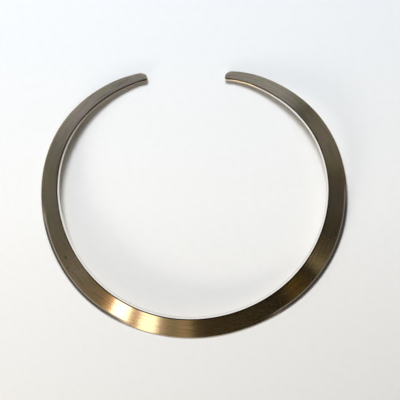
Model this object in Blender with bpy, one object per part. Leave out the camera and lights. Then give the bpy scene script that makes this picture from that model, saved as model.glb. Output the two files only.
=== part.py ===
"""Bronze torc: an open neck ring made of one flat strip, broad in front and narrow at its two tips.

Metres, +Z up. The ring lies on the ground with the broad front toward -Y and the mouth between
the tips toward +Y. The origin is on the ground, under the middle of the ring's outer size.
The strip leans like the wall of a shallow cone: its outer edge is low and its inner edge high.
"""

import math

import bmesh
import bpy
from mathutils import Vector

# The ring from above, over the strip's outer edge
OUTER_WIDTH = 0.1446
OUTER_DEPTH = 0.1295
FRONT_POINT = 0.00115
FULL_CORNERS = 0.0003
LEAN_OF_SIDES = 0.0006
LEAN_OF_FRONT = 0.00045
LEFT_TIP_BEND = 0.0005
RIGHT_TIP_BEND = 0.0016
TIP_BEND_START = math.radians(146)
TIP_BEND_REACH = math.radians(17)
SHOULDER_FULLNESS = 0.0011
SHOULDER_START = math.radians(15)
SHOULDER_END = math.radians(105)
MOUTH_WIDTH = 0.0371
MOUTH_OFFSET = 0.0008

# The strip
FRONT_STRIP_WIDTH = 0.0112
SHOULDER_STRIP_GAIN = 0.0012
TIP_STRIP_WIDTH = 0.0052
STRIP_THICKNESS = 0.0019
EDGE_RADIUS = 0.0003
FOOT_WIDTH = 0.0015
TIP_OUTER_RADIUS = 0.0027
TIP_INNER_RADIUS = 0.0006

# How far round from the front the strip stays broad, and how it then narrows
FULL_WIDTH_REACH = math.radians(53)
TAPER_POWER = 1.6

# The lean of the strip's face from level
FACE_SLOPE = math.radians(36)

# Both arms rise off the ground between the sides and the tips
ARM_RISE = 0.0024
RISE_START = math.radians(60)
RISE_END = math.radians(155)

# Fineness of the facets
STATION_STEP = math.radians(2)
TIP_STEPS = 6
CORNER_STEPS = 2

BRONZE_COLOUR = (0.33, 0.22, 0.12, 1)
BRONZE_ROUGHNESS = 0.38
BRONZE_METALLIC = 1.0
SHARP_EDGE = math.radians(28)

MEAN_RADIUS = (OUTER_WIDTH + OUTER_DEPTH) / 4
OVALNESS = (OUTER_WIDTH - OUTER_DEPTH) / 4


def shoulder(angle):
    """1 in the middle of either shoulder, between the front and the side, and 0 beyond both its ends."""
    share = (abs(angle) - SHOULDER_START) / (SHOULDER_END - SHOULDER_START)
    share = min(max(share, 0.0), 1.0)
    return math.sin(math.pi * share) ** 2


def outer_radius(angle):
    """Distance of the outer edge from the ring's centre, at an angle from the front toward +X."""
    even = MEAN_RADIUS - OVALNESS * math.cos(2 * angle) + FRONT_POINT * math.cos(3 * angle)
    even -= FULL_CORNERS * math.cos(4 * angle)
    even += LEAN_OF_SIDES * math.sin(2 * angle) - LEAN_OF_FRONT * math.sin(3 * angle)
    even += SHOULDER_FULLNESS * shoulder(angle)
    bend = RIGHT_TIP_BEND if angle > 0 else LEFT_TIP_BEND
    share = max(abs(angle) - TIP_BEND_START, 0.0) / TIP_BEND_REACH
    return even - bend * share**2


def outer_point(angle):
    radius = outer_radius(angle)
    return Vector((radius * math.sin(angle), -radius * math.cos(angle), 0))


def tip_angle(side):
    """The angle at which the outer edge reaches the mouth, at its left or right end."""
    from_middle = MOUTH_WIDTH / 2 + side * MOUTH_OFFSET
    angle = math.pi
    for _ in range(20):
        angle = math.pi - math.asin(from_middle / outer_radius(side * angle))
    return side * angle


def outward(angle):
    """The level direction square to the outer edge, away from the ring."""
    ahead = outer_point(angle + STATION_STEP / 2)
    behind = outer_point(angle - STATION_STEP / 2)
    along = (ahead - behind).normalized()
    return along.cross(Vector((0, 0, 1)))


def strip_width(angle, tip):
    share = (abs(angle) - FULL_WIDTH_REACH) / (abs(tip) - FULL_WIDTH_REACH)
    share = min(max(share, 0.0), 1.0)
    width = FRONT_STRIP_WIDTH - (FRONT_STRIP_WIDTH - TIP_STRIP_WIDTH) * share**TAPER_POWER
    return width + SHOULDER_STRIP_GAIN * shoulder(angle)


def rise(angle):
    """Height of the strip's foot over the ground."""
    share = (abs(angle) - RISE_START) / (RISE_END - RISE_START)
    share = min(max(share, 0.0), 1.0)
    return ARM_RISE * math.sin(math.pi * share) ** 2


def rounding(radius, from_end):
    """How far a rounded corner of the strip's end stands in from the strip's edge."""
    if from_end >= radius:
        return 0.0
    return radius - math.sqrt(radius**2 - (radius - from_end) ** 2)


def corner(centre_across, centre_down, first_turn):
    """Points round a small rounded corner, as distances across the strip and down from its face."""
    points = []
    for step in range(CORNER_STEPS + 1):
        turn = first_turn + math.pi / 2 * step / CORNER_STEPS
        across = centre_across - EDGE_RADIUS * math.cos(turn)
        down = centre_down - EDGE_RADIUS * math.sin(turn)
        points.append((across, down))
    return points


def section(angle, tip, from_end):
    """The strip's outline at one place, as points in space, from its outer edge over the face."""
    low = rounding(TIP_OUTER_RADIUS, from_end)
    high = strip_width(angle, tip) - rounding(TIP_INNER_RADIUS, from_end)
    steep = math.sin(FACE_SLOPE)
    flat = math.cos(FACE_SLOPE)
    foot_cut = FOOT_WIDTH * steep * flat
    outline = corner(low + EDGE_RADIUS, EDGE_RADIUS, 0)
    outline += corner(high - EDGE_RADIUS, EDGE_RADIUS, math.pi / 2)
    outline += corner(high - EDGE_RADIUS, STRIP_THICKNESS - EDGE_RADIUS, math.pi)
    outline.append((low + foot_cut / steep, STRIP_THICKNESS))
    outline.append((low, STRIP_THICKNESS - foot_cut / flat))

    start = outer_point(angle)
    start.z = rise(angle) + STRIP_THICKNESS * flat - foot_cut
    level = outward(angle)
    up = Vector((0, 0, 1))
    inward = up * steep - level * flat
    face = up * flat + level * steep
    return [start + inward * across - face * down for across, down in outline]


def stations():
    """Each place along the strip, as an angle, the angle of its tip and the way left to that tip."""
    left = tip_angle(-1)
    right = tip_angle(1)
    corner_reach = max(TIP_OUTER_RADIUS, TIP_INNER_RADIUS)
    end_turn = corner_reach / MEAN_RADIUS
    inner = round((right - left - 2 * end_turn) / STATION_STEP)
    places = []
    for step in range(TIP_STEPS):
        share = 1 - math.cos(math.pi / 2 * step / TIP_STEPS)
        places.append((left + end_turn * share, left, corner_reach * share))
    for step in range(inner + 1):
        angle = left + end_turn + (right - left - 2 * end_turn) * step / inner
        places.append((angle, left if angle < 0 else right, corner_reach))
    for step in reversed(range(TIP_STEPS)):
        share = 1 - math.cos(math.pi / 2 * step / TIP_STEPS)
        places.append((right - end_turn * share, right, corner_reach * share))
    return places


def bronze():
    material = bpy.data.materials.new("bronze")
    material.use_nodes = True
    shader = material.node_tree.nodes["Principled BSDF"]
    shader.inputs["Base Color"].default_value = BRONZE_COLOUR
    shader.inputs["Roughness"].default_value = BRONZE_ROUGHNESS
    shader.inputs["Metallic"].default_value = BRONZE_METALLIC
    return material


def torc():
    """The whole ring: sections of the strip joined one to the next, and closed at both tips."""
    work = bmesh.new()
    rings = []
    for angle, tip, from_end in stations():
        rings.append([work.verts.new(point) for point in section(angle, tip, from_end)])
    for ring, following in zip(rings, rings[1:]):
        for side in range(len(ring)):
            after = (side + 1) % len(ring)
            work.faces.new((ring[side], ring[after], following[after], following[side]))
    work.faces.new(rings[0])
    work.faces.new(reversed(rings[-1]))
    bmesh.ops.recalc_face_normals(work, faces=work.faces)

    middle_x = (min(v.co.x for v in work.verts) + max(v.co.x for v in work.verts)) / 2
    middle_y = (min(v.co.y for v in work.verts) + max(v.co.y for v in work.verts)) / 2
    bmesh.ops.translate(work, verts=work.verts, vec=(-middle_x, -middle_y, 0))

    mesh = bpy.data.meshes.new("torc")
    work.to_mesh(mesh)
    work.free()
    mesh.materials.append(bronze())
    mesh.shade_smooth()
    mesh.set_sharp_from_angle(angle=SHARP_EDGE)
    ring = bpy.data.objects.new("torc", mesh)
    bpy.context.scene.collection.objects.link(ring)
    return ring


for old in list(bpy.data.objects):
    bpy.data.objects.remove(old)
torc()
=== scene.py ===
import math

import bpy
from mathutils import Matrix, Vector


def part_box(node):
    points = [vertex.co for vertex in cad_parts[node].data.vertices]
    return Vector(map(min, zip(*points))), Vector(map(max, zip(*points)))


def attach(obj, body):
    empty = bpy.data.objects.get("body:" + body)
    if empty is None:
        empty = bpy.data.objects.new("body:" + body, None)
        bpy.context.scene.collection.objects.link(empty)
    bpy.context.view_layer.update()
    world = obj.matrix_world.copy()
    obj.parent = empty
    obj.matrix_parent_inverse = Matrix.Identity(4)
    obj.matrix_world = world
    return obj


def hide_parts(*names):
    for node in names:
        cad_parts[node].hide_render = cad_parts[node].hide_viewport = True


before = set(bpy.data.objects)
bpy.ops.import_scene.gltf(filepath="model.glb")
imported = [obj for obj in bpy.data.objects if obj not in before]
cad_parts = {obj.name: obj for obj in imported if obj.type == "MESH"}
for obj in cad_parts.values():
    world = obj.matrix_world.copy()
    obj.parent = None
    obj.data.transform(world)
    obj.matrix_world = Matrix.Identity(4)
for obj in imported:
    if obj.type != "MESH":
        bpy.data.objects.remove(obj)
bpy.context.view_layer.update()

# Sizes in metres, angles in degrees. The ring lies with its broad front toward -Y.
# Round the ring, angles start at the front and grow toward +X. Functions take them in radians.

torcRing = {
    "outerWidth": 0.1446,
    "outerDepth": 0.1295,
    "frontPoint": 0.00115,  # how far the front is drawn out from a plain oval
    "fullCorners": 0.0003,
    "leanOfSides": 0.0006,  # the ring is bent a little out of true
    "leanOfFront": 0.00045,
    "leftTipBend": 0.0005,  # the tips are bent in a little, the right one more
    "rightTipBend": 0.0016,
    "tipBendStart": 146,
    "tipBendReach": 17,
    "mouthWidth": 0.0371,
    "mouthOffset": 0.0008,
    # between the front and the sides the ring is fuller and its strip broader
    "shoulderFullness": 0.0011,
    "shoulderStart": 15,
    "shoulderEnd": 105,
    "armRise": 0.0024,  # the arms arch off the table between sides and tips
    "riseStart": 60,
    "riseEnd": 155,
    "paintedWallShadeStart": 95,  # along the left arm the inner wall is painted with shade
    "paintedWallShadeFull": 135,
}

torcStrip = {
    "frontWidth": 0.0112,
    "shoulderGain": 0.0012,
    "tipWidth": 0.0050,
    "thickness": 0.0019,
    "tipThickness": 0.0012,  # the strip thins along both arms
    "thinningStart": 75,
    "thinningEnd": 150,
    "slope": 36,
    "fullWidthReach": 53,
    "taperPower": 2.9,
    "tipOuterRadius": 0.0036,
    "tipInnerRadius": 0.0012,
    "topEdgeRadius": 0.0003,  # rubbed edges, rounder above than below
    "undersideEdgeRadius": 0.00015,
    # the foot is worn broader in front, where the ring rests, than at the shoulders
    "frontFootWidth": 0.0023,
    "shoulderFootWidth": 0.0012,
    "crown": 0.00003,  # the face is a hair fuller along its middle
    # fineness of the mesh
    "cellLength": 0.0012,
    "rowsAcross": 10,
    "cornerSegments": 10,
    "edgeSegments": 5,
    "sharpAngle": 30,
    "samePlace": 0.000001,
    "mergeDistance": 0.00001,
}

# how finely the ring's line is measured
lineMeasure = {
    "directionStep": 0.5,
    "edgeSteps": 2000,
    "tipRounds": 20,
}


def clearSelection():
    if bpy.context.mode != "OBJECT":
        bpy.ops.object.mode_set(mode="OBJECT")
    bpy.ops.object.select_all(action="DESELECT")


def makeActive(piece):
    clearSelection()
    piece.select_set(True)
    bpy.context.view_layer.objects.active = piece


# the ring as a line: the strip's outer edge, seen from above

meanRadius = (torcRing["outerWidth"] + torcRing["outerDepth"]) / 4
ovalness = (torcRing["outerWidth"] - torcRing["outerDepth"]) / 4


def shareBetween(value, start, end):
    # 0 at the start and before it, 1 at the end and past it
    return min(max((value - start) / (end - start), 0.0), 1.0)


def sideOf(angle):
    # -1 to the left of the front, 1 to its right
    return 1 if angle > 0 else -1


def shoulderAt(angle):
    # 1 in the middle of either shoulder and 0 beyond both its ends
    share = shareBetween(abs(math.degrees(angle)), torcRing["shoulderStart"], torcRing["shoulderEnd"])
    return math.sin(math.pi * share) ** 2


def outerRadius(angle):
    even = meanRadius - ovalness * math.cos(2 * angle) + torcRing["frontPoint"] * math.cos(3 * angle)
    even -= torcRing["fullCorners"] * math.cos(4 * angle)
    even += torcRing["shoulderFullness"] * shoulderAt(angle)
    bentSides = torcRing["leanOfSides"] * math.sin(2 * angle)
    bentFront = torcRing["leanOfFront"] * math.sin(3 * angle)
    bend = torcRing["rightTipBend" if angle > 0 else "leftTipBend"]
    pastStart = max(abs(math.degrees(angle)) - torcRing["tipBendStart"], 0.0)
    return even + bentSides - bentFront - bend * (pastStart / torcRing["tipBendReach"]) ** 2


def outerPoint(angle):
    radius = outerRadius(angle)
    return Vector((radius * math.sin(angle), -radius * math.cos(angle), 0))


def tipAngle(side):
    # where the outer edge reaches the mouth, found by trial
    fromMiddle = torcRing["mouthWidth"] / 2 + side * torcRing["mouthOffset"]
    angle = math.pi
    for _ in range(lineMeasure["tipRounds"]):
        angle = math.pi - math.asin(fromMiddle / outerRadius(side * angle))
    return side * angle


def outwardAt(angle):
    # the level direction square to the outer edge
    step = math.radians(lineMeasure["directionStep"])
    along = (outerPoint(angle + step) - outerPoint(angle - step)).normalized()
    return along.cross(Vector((0, 0, 1)))


def measureEdge(tip):
    # lengths along the outer edge from the front to a tip, for each of many small steps
    steps = lineMeasure["edgeSteps"]
    lengths = [0.0]
    last = outerPoint(0)
    for step in range(1, steps + 1):
        here = outerPoint(tip * step / steps)
        lengths.append(lengths[-1] + (here - last).length)
        last = here
    return lengths


tips = {side: tipAngle(side) for side in (-1, 1)}
edgeLengths = {side: measureEdge(tip) for side, tip in tips.items()}


def angleAt(length):
    # the angle that lies this far along the outer edge, to the left where it is negative
    side = sideOf(length)
    lengths = edgeLengths[side]
    reach = abs(length)
    low = 0
    high = len(lengths) - 1
    while high - low > 1:
        middle = (low + high) // 2
        if lengths[middle] <= reach:
            low = middle
        else:
            high = middle
    share = (reach - lengths[low]) / (lengths[high] - lengths[low])
    return tips[side] * (low + share) / (len(lengths) - 1)


def lengthAt(angle):
    # how far along the outer edge an angle lies, negative on the left
    side = sideOf(angle)
    lengths = edgeLengths[side]
    share = min(angle / tips[side], 1.0)
    return side * lengths[round(share * (len(lengths) - 1))]


def widthAt(angle):
    full = math.radians(torcStrip["fullWidthReach"])
    share = shareBetween(abs(angle), full, abs(tips[sideOf(angle)]))
    narrowing = torcStrip["frontWidth"] - torcStrip["tipWidth"]
    broad = torcStrip["frontWidth"] + torcStrip["shoulderGain"] * shoulderAt(angle)
    return broad - narrowing * share ** torcStrip["taperPower"]


def thicknessAt(angle):
    share = shareBetween(abs(math.degrees(angle)), torcStrip["thinningStart"], torcStrip["thinningEnd"])
    thinning = torcStrip["thickness"] - torcStrip["tipThickness"]
    return torcStrip["thickness"] - thinning * share


def riseAt(angle):
    # how far the strip's foot stands off the table
    share = shareBetween(abs(math.degrees(angle)), torcRing["riseStart"], torcRing["riseEnd"])
    return torcRing["armRise"] * math.sin(math.pi * share) ** 2


def footWidthAt(angle):
    gain = torcStrip["shoulderFootWidth"] - torcStrip["frontFootWidth"]
    return torcStrip["frontFootWidth"] + gain * shoulderAt(angle)


def clearMeshSelection(kind):
    bpy.ops.object.mode_set(mode="EDIT")
    bpy.ops.mesh.select_mode(type=kind)
    bpy.ops.mesh.select_all(action="DESELECT")
    bpy.ops.object.mode_set(mode="OBJECT")


def cutBlank():
    # a flat strip, as it is before bending: X along its length, Y from its outer to its inner edge
    left = edgeLengths[-1][-1]
    right = edgeLengths[1][-1]
    bodyLeft = left - torcStrip["tipOuterRadius"]
    bodyRight = right - torcStrip["tipOuterRadius"]
    cells = round((bodyLeft + bodyRight) / torcStrip["cellLength"])
    clearSelection()
    bpy.ops.mesh.primitive_grid_add(
        x_subdivisions=cells,
        y_subdivisions=torcStrip["rowsAcross"],
        size=1,
        location=((bodyRight - bodyLeft) / 2, 0.5, 0),
    )
    blank = bpy.context.object
    blank.name = "torcBronze"
    bpy.ops.transform.resize(value=(bodyLeft + bodyRight, 1, 1))
    bpy.ops.object.transform_apply(location=True, rotation=True, scale=True)

    # the strip narrows toward its tips
    for vertex in blank.data.vertices:
        vertex.co.y *= widthAt(angleAt(vertex.co.x))

    # one plain cell at each end, for the rounded tip
    for end, step in ((-bodyLeft, -1), (bodyRight, 1)):
        clearMeshSelection("EDGE")
        for edge in blank.data.edges:
            ends = [blank.data.vertices[i].co.x for i in edge.vertices]
            edge.select = all(abs(x - end) < torcStrip["samePlace"] for x in ends)
        bpy.ops.object.mode_set(mode="EDIT")
        move = {"value": (step * torcStrip["tipOuterRadius"], 0, 0)}
        bpy.ops.mesh.extrude_edges_move(TRANSFORM_OT_translate=move)
        bpy.ops.object.mode_set(mode="OBJECT")
        tipEnd = end + step * torcStrip["tipOuterRadius"]
        joinTipCells(blank, end, tipEnd)
    return blank


def joinTipCells(blank, bodyEnd, tipEnd):
    # the cells past the body's end become one face, with corners at its outer and inner edge alone
    near = torcStrip["samePlace"]
    low = min(bodyEnd, tipEnd)
    high = max(bodyEnd, tipEnd)
    for face in blank.data.polygons:
        face.select = low < face.center.x < high
    bpy.ops.object.mode_set(mode="EDIT")
    bpy.ops.mesh.select_mode(type="FACE")
    bpy.ops.mesh.dissolve_faces()
    bpy.ops.mesh.select_mode(type="VERT")
    bpy.ops.mesh.select_all(action="DESELECT")
    bpy.ops.object.mode_set(mode="OBJECT")
    atEnd = [v for v in blank.data.vertices if abs(v.co.x - tipEnd) < near]
    top = max(v.co.y for v in atEnd)
    for vertex in atEnd:
        vertex.select = near < vertex.co.y < top - near
    bpy.ops.object.mode_set(mode="EDIT")
    bpy.ops.mesh.dissolve_verts()
    bpy.ops.object.mode_set(mode="OBJECT")
    for isOuter, radius in ((True, "tipOuterRadius"), (False, "tipInnerRadius")):
        roundTipCorner(blank, tipEnd, isOuter, torcStrip[radius])


def roundTipCorner(blank, tipEnd, isOuter, radius):
    clearMeshSelection("VERT")
    corners = [v for v in blank.data.vertices if abs(v.co.x - tipEnd) < torcStrip["samePlace"]]
    corners.sort(key=lambda vertex: vertex.co.y)
    corners[0 if isOuter else -1].select = True
    bpy.ops.object.mode_set(mode="EDIT")
    bpy.ops.mesh.bevel(
        affect="VERTICES",
        offset=radius,
        segments=torcStrip["cornerSegments"],
        clamp_overlap=False,
    )
    bpy.ops.mesh.select_all(action="SELECT")
    bpy.ops.mesh.remove_doubles(threshold=torcStrip["mergeDistance"])
    bpy.ops.object.mode_set(mode="OBJECT")


def bendBlank(blank):
    # each point of the flat strip goes to its place on the leaning ring
    slope = math.radians(torcStrip["slope"])
    steep = math.sin(slope)
    flat = math.cos(slope)
    up = Vector((0, 0, 1))
    for vertex in blank.data.vertices:
        angle = angleAt(vertex.co.x)
        across = vertex.co.y
        outward = outwardAt(angle)
        footCut = footWidthAt(angle) * steep * flat
        fromMiddle = 2 * across / widthAt(angle) - 1
        crown = torcStrip["crown"] * (1 - fromMiddle**2)
        place = outerPoint(angle)
        place.z = riseAt(angle) + thicknessAt(angle) * flat - footCut
        place += (up * steep - outward * flat) * across
        place += (up * flat + outward * steep) * crown
        vertex.co = place
    blank.data.update()


def thickenAndSoften(piece):
    # the face gets its thickness below, and all edges their rounding
    makeActive(piece)
    bpy.ops.object.mode_set(mode="EDIT")
    bpy.ops.mesh.select_all(action="SELECT")
    bpy.ops.mesh.normals_make_consistent(inside=False)
    bpy.ops.object.mode_set(mode="OBJECT")
    if piece.data.polygons[0].normal.z < 0:
        bpy.ops.object.mode_set(mode="EDIT")
        bpy.ops.mesh.flip_normals()
        bpy.ops.object.mode_set(mode="OBJECT")
    thick = piece.vertex_groups.new(name="thick")
    for vertex in piece.data.vertices:
        here = thicknessAt(math.atan2(vertex.co.x, -vertex.co.y))
        thick.add([vertex.index], here / torcStrip["thickness"], "REPLACE")
    # the vertices of the underside follow those of the face in the same order
    faceVertices = len(piece.data.vertices)
    rim = {edge.key for edge in boundaryEdges(piece)}
    wall = piece.modifiers.new("wall", "SOLIDIFY")
    wall.thickness = torcStrip["thickness"]
    wall.offset = -1
    wall.use_even_offset = True
    wall.vertex_group = "thick"
    bpy.ops.object.modifier_apply(modifier="wall")
    softness = piece.data.attributes.new("bevel_weight_edge", "FLOAT", "EDGE")
    underside = torcStrip["undersideEdgeRadius"] / torcStrip["topEdgeRadius"]
    for edge in piece.data.edges:
        low, high = sorted(edge.vertices)
        if (low, high) in rim:
            softness.data[edge.index].value = 1.0
        elif (low - faceVertices, high - faceVertices) in rim:
            softness.data[edge.index].value = underside
    edges = piece.modifiers.new("rubbedEdges", "BEVEL")
    edges.limit_method = "WEIGHT"
    edges.width = torcStrip["topEdgeRadius"]
    edges.segments = torcStrip["edgeSegments"]
    edges.use_clamp_overlap = False
    bpy.ops.object.modifier_apply(modifier="rubbedEdges")


def boundaryEdges(piece):
    uses = {}
    for face in piece.data.polygons:
        for key in face.edge_keys:
            uses[key] = uses.get(key, 0) + 1
    return [edge for edge in piece.data.edges if uses[edge.key] == 1]


def wearFootFlat(piece):
    # the lowest edge is worn to a narrow level foot all round
    for vertex in piece.data.vertices:
        foot = riseAt(math.atan2(vertex.co.x, -vertex.co.y))
        vertex.co.z = max(vertex.co.z, foot)
    piece.data.update()


def placeInFrame(piece):
    # over the frame's own ring
    low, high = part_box("torc")
    xs = [v.co.x for v in piece.data.vertices]
    ys = [v.co.y for v in piece.data.vertices]
    shift = Vector((
        (low.x + high.x - min(xs) - max(xs)) / 2,
        (low.y + high.y - min(ys) - max(ys)) / 2,
        0,
    ))
    piece.data.transform(Matrix.Translation(shift))
    return shift


def markLengthAndBreadth(piece, shift):
    # UV maps in metres: along and across the strip, and the ways from its outer and inner edges
    # a third holds two shares: how much of a shoulder the place has, and how far the inner wall is
    # painted with shade
    slope = math.radians(torcStrip["slope"])
    for name in ("strip", "edges", "wear"):
        piece.data.uv_layers.new(name=name)
    strip = piece.data.uv_layers["strip"]
    edges = piece.data.uv_layers["edges"]
    wear = piece.data.uv_layers["wear"]
    places = []
    for vertex in piece.data.vertices:
        x = vertex.co.x - shift.x
        y = vertex.co.y - shift.y
        angle = math.atan2(x, -y)
        across = (outerRadius(angle) - math.hypot(x, y)) / math.cos(slope)
        paintedWallShade = shareBetween(-math.degrees(angle), torcRing["paintedWallShadeStart"], torcRing["paintedWallShadeFull"])
        fromInner = widthAt(angle) - across
        if fromInner < 0:
            # on the inner wall, as deep as it would be on a strip of full thickness
            fromInner *= torcStrip["thickness"] / thicknessAt(angle)
        places.append((lengthAt(angle), across, fromInner, shoulderAt(angle), paintedWallShade))
    for loop in piece.data.loops:
        along, fromOuter, fromInner, shoulder, paintedWallShade = places[loop.vertex_index]
        strip.data[loop.index].uv = (along, fromOuter)
        edges.data[loop.index].uv = (fromOuter, fromInner)
        wear.data[loop.index].uv = (shoulder, paintedWallShade)


def makeTorc():
    blank = cutBlank()
    bendBlank(blank)
    thickenAndSoften(blank)
    wearFootFlat(blank)
    shift = placeInFrame(blank)
    markLengthAndBreadth(blank, shift)
    makeActive(blank)
    bpy.ops.object.shade_smooth_by_angle(angle=math.radians(torcStrip["sharpAngle"]))
    return blank


# the bronze

bronzeLook = {
    "oliveColour": (0.74, 0.68, 0.45),
    "violetColour": (0.80, 0.65, 0.52),
    "mottleSize": 0.0035,
    "mottleDetail": 4.0,
    "mottleRange": (0.38, 0.62),
    "darkStreakColour": (0.52, 0.45, 0.31),
    "streakLength": 0.012,
    "streakWidth": 0.0009,
    "streakDetail": 5.0,
    "streakRange": (0.50, 0.78),
    "roughness": 0.16,
    "roughnessSpread": 0.04,
    "anisotropy": 0.6,
    "anisotropyTurn": 0.25,
    "brushLinesPerMetre": 6000,
    "brushLength": 0.005,
    "brushDetail": 4.0,
    "brushDepth": 0.0000025,
    # painted shadow: a dark band along the outer rim of both shoulders, with a pale painted reflection
    # line inside it; neither is metallic
    "paintedRimShadowColour": (0.085, 0.070, 0.062),
    "paintedRimShadowWidth": 0.0016,
    "paintedRimReflectionColour": (0.28, 0.245, 0.19),
    "paintedRimReflectionWidth": 0.0006,
    "paintedRimFade": 0.0002,
    "paintedRimShoulderRange": (0.15, 0.55),
    "markColour": (0.05, 0.035, 0.02),
    "markStrength": 0.95,
    "markCore": 0.3,  # the share of a mark's size that is darkest
    # the narrow inner wall is painted with what it mirrors: a pale painted reflection of the sheet, a
    # golden painted reflection near the right tip, painted shade toward its foot and on the upper left
    # arm
    "paintedWallReflectionColour": (1.0, 0.98, 0.94),
    "paintedWallFade": 0.00015,
    "paintedGoldReflectionColour": (1.0, 0.78, 0.52),
    "paintedGoldStart": 132,
    "paintedGoldFull": 150,
    "paintedWallFootShadeColour": (0.60, 0.56, 0.50),
    "paintedWallFootShadeStart": 0.0010,
    "paintedWallFootShadeFull": 0.0012,
    "paintedWallShadeColour": (0.27, 0.22, 0.16),
    # painted dark reflection: a narrow dark line beside the inner edge, where the rounded edge mirrors
    # the dark ceiling
    "paintedEdgeShadeColour": (0.10, 0.08, 0.05),
    "paintedEdgeShadeWidth": 0.00042,
    "paintedEdgeShadeFade": 1.3,
    "paintedEdgeShadeEnd": (-0.0001, 0.00005),
}

# small dark marks on the face: angle round the ring, way in from the outer edge, length and breadth
surfaceMarks = [
    (-68.9, 0.0060, 0.0012, 0.0006),
    (-65.0, 0.0036, 0.0007, 0.0004),
]


def addNode(tree, kind, **values):
    node = tree.nodes.new(kind)
    for name, value in values.items():
        setattr(node, name, value)
    return node


def addMix(tree, factor, low, high):
    # colours are given as numbers or as another node's output
    mix = addNode(tree, "ShaderNodeMix", data_type="RGBA")
    tree.links.new(factor, mix.inputs["Factor"])
    for name, value in (("A", low), ("B", high)):
        if isinstance(value, tuple):
            mix.inputs[name].default_value = (*value, 1)
        else:
            tree.links.new(value, mix.inputs[name])
    return mix.outputs["Result"]


def addRange(tree, value, low, high, toLow=0.0, toHigh=1.0, smooth=False):
    spread = addNode(tree, "ShaderNodeMapRange")
    if smooth:
        spread.interpolation_type = "SMOOTHSTEP"
    spread.inputs["From Min"].default_value = low
    spread.inputs["From Max"].default_value = high
    spread.inputs["To Min"].default_value = toLow
    spread.inputs["To Max"].default_value = toHigh
    tree.links.new(value, spread.inputs["Value"])
    return spread.outputs["Result"]


def addStripNoise(tree, strip, length, width, detail):
    # noise drawn out along the strip
    stretch = addNode(tree, "ShaderNodeMapping")
    stretch.inputs["Scale"].default_value = (1 / length, 1 / width, 1)
    tree.links.new(strip, stretch.inputs["Vector"])
    noise = addNode(tree, "ShaderNodeTexNoise", noise_dimensions="2D")
    noise.inputs["Scale"].default_value = 1.0
    noise.inputs["Detail"].default_value = detail
    tree.links.new(stretch.outputs["Vector"], noise.inputs["Vector"])
    return noise.outputs["Fac"]


def addProduct(tree, first, second):
    product = addNode(tree, "ShaderNodeMath", operation="MULTIPLY")
    tree.links.new(first, product.inputs[0])
    tree.links.new(second, product.inputs[1])
    return product.outputs["Value"]


def splitMap(tree, name):
    # the two values that a UV map holds at each place
    parts = addNode(tree, "ShaderNodeSeparateXYZ")
    tree.links.new(addNode(tree, "ShaderNodeUVMap", uv_map=name).outputs["UV"], parts.inputs["Vector"])
    return parts.outputs["X"], parts.outputs["Y"]


def addPatina(tree, strip):
    # soft mottling between olive and violet brown, as handling leaves it, with darker streaks
    look = bronzeLook
    place = addNode(tree, "ShaderNodeTexCoord")
    mottle = addNode(tree, "ShaderNodeTexNoise")
    mottle.inputs["Scale"].default_value = 1 / look["mottleSize"]
    mottle.inputs["Detail"].default_value = look["mottleDetail"]
    tree.links.new(place.outputs["Object"], mottle.inputs["Vector"])
    mottling = addRange(tree, mottle.outputs["Fac"], *look["mottleRange"])
    tone = addMix(tree, mottling, look["oliveColour"], look["violetColour"])
    streaks = addStripNoise(tree, strip, look["streakLength"], look["streakWidth"], look["streakDetail"])
    return addMix(tree, addRange(tree, streaks, *look["streakRange"]), tone, look["darkStreakColour"])


def addPaintedRims(tree, tone, fromOuter, shoulder):
    # gives the tone with the painted rim shadow and its painted reflection line, and how metallic each
    # place is left: not at all on either
    onShoulder = addRange(tree, shoulder, *bronzeLook["paintedRimShoulderRange"], smooth=True)
    paintedLineReach = bronzeLook["paintedRimShadowWidth"] + bronzeLook["paintedRimReflectionWidth"]
    paintedRimBands = []
    for colour, reach in (("paintedRimReflectionColour", paintedLineReach), ("paintedRimShadowColour", bronzeLook["paintedRimShadowWidth"])):
        within = addRange(tree, fromOuter, reach, reach - bronzeLook["paintedRimFade"], smooth=True)
        paintedRimBands.append(addProduct(tree, within, onShoulder))
        tone = addMix(tree, paintedRimBands[-1], tone, bronzeLook[colour])
    return tone, addRange(tree, paintedRimBands[0], 0.0, 1.0, 1.0, 0.0)


def addMarks(tree, tone, strip):
    for degrees, fromOuter, length, breadth in surfaceMarks:
        along = lengthAt(math.radians(degrees))
        spot = addNode(tree, "ShaderNodeMapping")
        spot.inputs["Location"].default_value = (-along / length, -fromOuter / breadth, 0)
        spot.inputs["Scale"].default_value = (1 / length, 1 / breadth, 1)
        tree.links.new(strip, spot.inputs["Vector"])
        away = addNode(tree, "ShaderNodeVectorMath", operation="LENGTH")
        tree.links.new(spot.outputs["Vector"], away.inputs[0])
        core = bronzeLook["markCore"]
        dark = addRange(tree, away.outputs["Value"], 1.0, core, 0.0, bronzeLook["markStrength"])
        tone = addMix(tree, dark, tone, bronzeLook["markColour"])
    return tone


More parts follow.
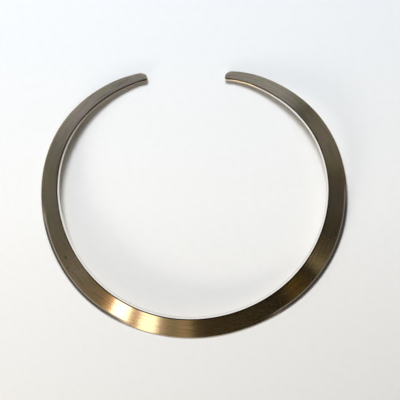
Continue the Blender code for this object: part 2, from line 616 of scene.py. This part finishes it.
# painted reflection on the inner wall, golden near the right tip, with painted shade toward its foot and
# on the upper left arm
def addPaintedWallReflection(tree, tone, fromInner, paintedWallShade):
    along = splitMap(tree, "strip")[0]
    paintedGoldStart = lengthAt(math.radians(bronzeLook["paintedGoldStart"]))
    paintedGoldFull = lengthAt(math.radians(bronzeLook["paintedGoldFull"]))
    paintedGold = addRange(tree, along, paintedGoldStart, paintedGoldFull)
    wall = addMix(tree, paintedGold, bronzeLook["paintedWallReflectionColour"], bronzeLook["paintedGoldReflectionColour"])
    foot = addRange(tree, fromInner, -bronzeLook["paintedWallFootShadeStart"], -bronzeLook["paintedWallFootShadeFull"])
    wall = addMix(tree, foot, wall, bronzeLook["paintedWallFootShadeColour"])
    wall = addMix(tree, paintedWallShade, wall, bronzeLook["paintedWallShadeColour"])
    onWall = addRange(tree, fromInner, 0.0, -bronzeLook["paintedWallFade"], smooth=True)
    return addMix(tree, onWall, tone, wall)


# painted dark reflection line along the face beside the inner edge
def addPaintedEdgeShade(tree, tone, fromInner):
    width = bronzeLook["paintedEdgeShadeWidth"]
    onFace = addRange(tree, fromInner, width * bronzeLook["paintedEdgeShadeFade"], width, smooth=True)
    offWall = addRange(tree, fromInner, *bronzeLook["paintedEdgeShadeEnd"], smooth=True)
    return addMix(tree, addProduct(tree, onFace, offWall), tone, bronzeLook["paintedEdgeShadeColour"])


def makeBronze():
    material = bpy.data.materials.new("satinBronze")
    material.use_nodes = True
    tree = material.node_tree
    shader = tree.nodes["Principled BSDF"]
    shader.inputs["Metallic"].default_value = 1.0
    shader.inputs["Anisotropic"].default_value = bronzeLook["anisotropy"]
    shader.inputs["Anisotropic Rotation"].default_value = bronzeLook["anisotropyTurn"]
    around = addNode(tree, "ShaderNodeTangent", direction_type="UV_MAP", uv_map="strip")
    tree.links.new(around.outputs["Tangent"], shader.inputs["Tangent"])

    strip = addNode(tree, "ShaderNodeUVMap", uv_map="strip").outputs["UV"]
    fromOuter, fromInner = splitMap(tree, "edges")
    shoulder, paintedWallShade = splitMap(tree, "wear")
    tone = addPatina(tree, strip)
    # painted shadow and painted reflection line along the outer rim of the shoulders
    tone, metallic = addPaintedRims(tree, tone, fromOuter, shoulder)
    tone = addMarks(tree, tone, strip)
    # painted reflection and painted shade on the inner wall
    tone = addPaintedWallReflection(tree, tone, fromInner, paintedWallShade)
    # painted dark reflection line beside the inner edge
    tone = addPaintedEdgeShade(tree, tone, fromInner)
    tree.links.new(tone, shader.inputs["Base Color"])
    tree.links.new(metallic, shader.inputs["Metallic"])

    # fine brush lines along the strip
    lineWidth = 1 / bronzeLook["brushLinesPerMetre"]
    brush = addStripNoise(tree, strip, bronzeLook["brushLength"], lineWidth, bronzeLook["brushDetail"])
    smoothest = bronzeLook["roughness"] - bronzeLook["roughnessSpread"]
    roughest = bronzeLook["roughness"] + bronzeLook["roughnessSpread"]
    tree.links.new(addRange(tree, brush, 0.0, 1.0, smoothest, roughest), shader.inputs["Roughness"])
    bump = addNode(tree, "ShaderNodeBump")
    bump.inputs["Distance"].default_value = bronzeLook["brushDepth"]
    bump.inputs["Strength"].default_value = 1.0
    tree.links.new(brush, bump.inputs["Height"])
    tree.links.new(bump.outputs["Normal"], shader.inputs["Normal"])
    return material


torc = makeTorc()
torc.data.materials.append(makeBronze())
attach(torc, "root")
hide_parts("torc")
print("torc modelled:", len(torc.data.polygons), "faces")


# the camera, almost straight above

cameraPlace = {
    "aim": (0.0029, 0.0011, 0.0),
    "turn": 4.0,  # how far the ring is turned anticlockwise in the picture
    "leanRight": 2.8,
    "leanNear": 3.0,
    "distance": 0.6,
    "lens": 114.3,
    "sensor": 36.0,
    "nearLimit": 0.01,
}


def fromPicture(direction):
    # a direction given by the picture's right, up and toward the viewer, in the frame's own axes
    return Matrix.Rotation(math.radians(-cameraPlace["turn"]), 3, "Z") @ Vector(direction)


def placeCamera():
    data = bpy.data.cameras.new("overhead")
    data.lens = cameraPlace["lens"]
    data.sensor_width = cameraPlace["sensor"]
    data.clip_start = cameraPlace["nearLimit"]
    camera = bpy.data.objects.new("overhead", data)
    bpy.context.scene.collection.objects.link(camera)
    right = math.sin(math.radians(cameraPlace["leanRight"]))
    near = math.sin(math.radians(cameraPlace["leanNear"]))
    back = fromPicture((right, -near, math.sqrt(1 - right**2 - near**2)))
    side = fromPicture((0, 1, 0)).cross(back).normalized()
    above = back.cross(side)
    turned = Matrix((side, above, back)).transposed().to_4x4()
    place = Vector(cameraPlace["aim"]) + back * cameraPlace["distance"]
    camera.matrix_world = Matrix.Translation(place) @ turned
    bpy.context.scene.camera = camera


placeCamera()
print("camera placed")


# the sheet that it lies on

sheetLook = {
    "size": 3.0,
    "roughness": 0.9,
    # painted light: the sheet is tinted bluish toward the top of the picture, where the daylight falls,
    # and warm toward its bottom, where the room's light falls; both ends are a little darker than the
    # middle
    "topColour": (0.828, 0.850, 0.874),
    "middleColour": (0.900, 0.893, 0.878),
    "bottomColour": (0.848, 0.827, 0.800),
    "reach": 0.095,
    "grainSize": 0.0035,
    "grainDetail": 6.0,
    "grainRange": (0.45, 0.7),
    "grainColour": (0.985, 0.985, 0.985),
}


def makeSheet():
    clearSelection()
    bpy.ops.mesh.primitive_plane_add(size=sheetLook["size"], location=(0, 0, 0))
    sheet = bpy.context.object
    sheet.name = "paleFloor"
    material = bpy.data.materials.new("paleSheet")
    material.use_nodes = True
    tree = material.node_tree
    shader = tree.nodes["Principled BSDF"]
    shader.inputs["Roughness"].default_value = sheetLook["roughness"]
    place = addNode(tree, "ShaderNodeTexCoord")
    turn = addNode(tree, "ShaderNodeMapping")
    turn.inputs["Rotation"].default_value = (0, 0, math.radians(cameraPlace["turn"]))
    tree.links.new(place.outputs["Object"], turn.inputs["Vector"])
    axes = addNode(tree, "ShaderNodeSeparateXYZ")
    tree.links.new(turn.outputs["Vector"], axes.inputs["Vector"])
    reach = sheetLook["reach"]
    upper = addRange(tree, axes.outputs["Y"], 0.0, reach)
    lower = addRange(tree, axes.outputs["Y"], 0.0, -reach)
    tint = addMix(tree, upper, sheetLook["middleColour"], sheetLook["topColour"])
    tint = addMix(tree, lower, tint, sheetLook["bottomColour"])
    grain = addNode(tree, "ShaderNodeTexNoise")
    grain.inputs["Scale"].default_value = 1 / sheetLook["grainSize"]
    grain.inputs["Detail"].default_value = sheetLook["grainDetail"]
    tree.links.new(place.outputs["Object"], grain.inputs["Vector"])
    grains = addRange(tree, grain.outputs["Fac"], *sheetLook["grainRange"])
    soften = addMix(tree, grains, (1.0, 1.0, 1.0), sheetLook["grainColour"])
    paper = addNode(tree, "ShaderNodeMix", data_type="RGBA", blend_type="MULTIPLY")
    paper.inputs["Factor"].default_value = 1.0
    tree.links.new(tint, paper.inputs["A"])
    tree.links.new(soften, paper.inputs["B"])
    tree.links.new(paper.outputs["Result"], shader.inputs["Base Color"])
    sheet.data.materials.append(material)


makeSheet()
print("sheet laid")


# the room: a band of walls all round, and a dark ceiling

roomColours = [
    # azimuth in the picture, clockwise from its right, and the colour met there low down
    (0, (0.059, 0.056, 0.055)),
    (10, (0.056, 0.048, 0.037)),
    (18, (0.037, 0.033, 0.025)),
    (27, (0.085, 0.066, 0.040)),
    (32, (0.203, 0.168, 0.104)),
    (38, (0.018, 0.013, 0.007)),
    (50, (0.090, 0.059, 0.013)),
    (57, (0.018, 0.014, 0.008)),
    (70, (0.033, 0.025, 0.011)),
    (86, (0.040, 0.028, 0.010)),
    (91, (0.052, 0.036, 0.014)),
    (95, (0.400, 0.290, 0.170)),
    (100, (0.217, 0.168, 0.101)),
    (112, (0.450, 0.308, 0.161)),
    (125, (0.750, 0.420, 0.161)),
    (130, (0.203, 0.147, 0.087)),
    (147, (0.150, 0.130, 0.104)),
    (157, (0.090, 0.077, 0.060)),
    (175, (0.090, 0.091, 0.090)),
    (190, (0.120, 0.119, 0.111)),
    (204, (0.136, 0.138, 0.146)),
    (228, (0.262, 0.268, 0.320)),
    (246, (0.215, 0.222, 0.275)),
    (290, (0.310, 0.330, 0.375)),
    (306, (0.100, 0.100, 0.098)),
    (316, (0.150, 0.144, 0.138)),
    (332, (0.150, 0.143, 0.137)),
    (344, (0.112, 0.108, 0.080)),
    (352, (0.071, 0.059, 0.050)),
]

roomLook = {
    "ceilingColour": (0.030, 0.028, 0.025),
    "ceilingStart": 33,
    "ceilingFade": 8,
    "backdropColour": (0.80, 0.80, 0.80),
}


def makeWorld():
    world = bpy.data.worlds.new("room")
    bpy.context.scene.world = world
    world.use_nodes = True
    tree = world.node_tree
    background = tree.nodes["Background"]
    place = addNode(tree, "ShaderNodeTexCoord")
    turn = addNode(tree, "ShaderNodeMapping", vector_type="TEXTURE")
    turn.inputs["Rotation"].default_value = (0, 0, math.radians(-cameraPlace["turn"]))
    tree.links.new(place.outputs["Generated"], turn.inputs["Vector"])
    axes = addNode(tree, "ShaderNodeSeparateXYZ")
    tree.links.new(turn.outputs["Vector"], axes.inputs["Vector"])

    downward = addNode(tree, "ShaderNodeMath", operation="MULTIPLY")
    downward.inputs[1].default_value = -1
    tree.links.new(axes.outputs["Y"], downward.inputs[0])
    azimuth = addNode(tree, "ShaderNodeMath", operation="ARCTAN2")
    tree.links.new(downward.outputs["Value"], azimuth.inputs[0])
    tree.links.new(axes.outputs["X"], azimuth.inputs[1])
    share = addNode(tree, "ShaderNodeMath", operation="DIVIDE")
    share.inputs[1].default_value = 2 * math.pi
    tree.links.new(azimuth.outputs["Value"], share.inputs[0])
    wrapped = addNode(tree, "ShaderNodeMath", operation="FRACT")
    tree.links.new(share.outputs["Value"], wrapped.inputs[0])

    room = addNode(tree, "ShaderNodeValToRGB")
    ramp = room.color_ramp
    while len(ramp.elements) > 1:
        ramp.elements.remove(ramp.elements[-1])
    for index, (degrees, colour) in enumerate(roomColours):
        stop = ramp.elements[0] if index == 0 else ramp.elements.new(degrees / 360)
        stop.position = degrees / 360
        stop.color = (*colour, 1)
    last = ramp.elements.new(1.0)
    last.color = (*roomColours[0][1], 1)
    tree.links.new(wrapped.outputs["Value"], room.inputs["Fac"])

    fadeStart = math.sin(math.radians(roomLook["ceilingStart"] - roomLook["ceilingFade"]))
    fadeEnd = math.sin(math.radians(roomLook["ceilingStart"] + roomLook["ceilingFade"]))
    height = addRange(tree, axes.outputs["Z"], fadeStart, fadeEnd, smooth=True)
    indoors = addMix(tree, height, room.outputs["Color"], roomLook["ceilingColour"])

    # the camera itself sees a plain backdrop
    ray = addNode(tree, "ShaderNodeLightPath")
    seen = addMix(tree, ray.outputs["Is Camera Ray"], indoors, roomLook["backdropColour"])
    tree.links.new(seen, background.inputs["Color"])


# lamps: where each stands, seen from the ring, its size in metres, its share of the sheet's light
# and whether the metal mirrors it

fullLight = 3.4

softLamps = {
    "skyWindow": {"azimuth": 257, "elevation": 55, "distance": 1.05, "width": 0.32, "height": 0.32,
                  "colour": (0.955, 0.98, 1.0), "share": 0.64, "inMetal": False},
    "skyWindowRight": {"azimuth": 283, "elevation": 50, "distance": 1.05, "width": 0.43, "height": 0.35,
                       "colour": (0.955, 0.98, 1.0), "share": 0.10, "inMetal": False},
    "wallLeft": {"azimuth": 218, "elevation": 42, "distance": 0.7, "width": 0.42, "height": 0.34,
                 "colour": (0.97, 0.98, 1.0), "share": 0.07, "inMetal": False},
    "wallNearLeft": {"azimuth": 165, "elevation": 32, "distance": 0.6, "width": 0.40, "height": 0.20,
                     "colour": (1.0, 0.985, 0.96), "share": 0.04, "inMetal": True},
    "windowGlow": {"azimuth": 121, "elevation": 17, "distance": 0.55, "width": 0.18, "height": 0.085,
                   "colour": (1.0, 0.95, 0.86), "share": 0.09, "inMetal": False},
}

# the two window panes that the front mirrors
windowPanes = {
    # azimuths in the picture, clockwise from its right, and heights in degrees
    "wide": {"from": 117.2, "to": 124.5, "low": 4, "high": 26,
             "colour": (1.0, 0.94, 0.86), "brightness": 2.5},
    "narrow": {"from": 106.4, "to": 112.6, "low": 4, "high": 26,
               "colour": (1.0, 0.91, 0.76), "brightness": 1.9},
}
windowDistance = 1.2


def towards(azimuth, elevation):
    # azimuth in the picture, clockwise from its right
    turn = math.radians(azimuth)
    lift = math.radians(elevation)
    level = math.cos(lift)
    return fromPicture((math.cos(turn) * level, -math.sin(turn) * level, math.sin(lift)))


def addAreaLight(name, azimuth, elevation, distance, width, height, colour, radiance):
    # a flat light that faces the ring; its brightness is what its surface shines with
    data = bpy.data.lights.new(name, "AREA")
    data.shape = "RECTANGLE"
    data.size = width
    data.size_y = height
    data.color = colour
    data.energy = radiance * width * height * math.pi
    lamp = bpy.data.objects.new(name, data)
    direction = towards(azimuth, elevation)
    lamp.location = direction * distance
    lamp.rotation_euler = direction.to_track_quat("Z", "Y").to_euler()
    lamp.visible_camera = False
    bpy.context.scene.collection.objects.link(lamp)
    return lamp


def makeLights():
    for name, pane in windowPanes.items():
        middle = (pane["from"] + pane["to"]) / 2
        lift = (pane["low"] + pane["high"]) / 2
        width = 2 * windowDistance * math.tan(math.radians(pane["to"] - pane["from"]) / 2)
        height = 2 * windowDistance * math.tan(math.radians(pane["high"] - pane["low"]) / 2)
        addAreaLight(name + "Pane", middle, lift, windowDistance, width, height,
                     pane["colour"], pane["brightness"])
    for name, soft in softLamps.items():
        lift = math.sin(math.radians(soft["elevation"]))
        seenSize = soft["width"] * soft["height"] / soft["distance"] ** 2
        radiance = soft["share"] * fullLight / (seenSize * lift)
        lamp = addAreaLight(name, soft["azimuth"], soft["elevation"], soft["distance"], soft["width"],
                            soft["height"], soft["colour"], radiance)
        lamp.visible_glossy = soft["inMetal"]


makeWorld()
makeLights()
bpy.context.scene.view_settings.view_transform = "Standard"
print("lights set")
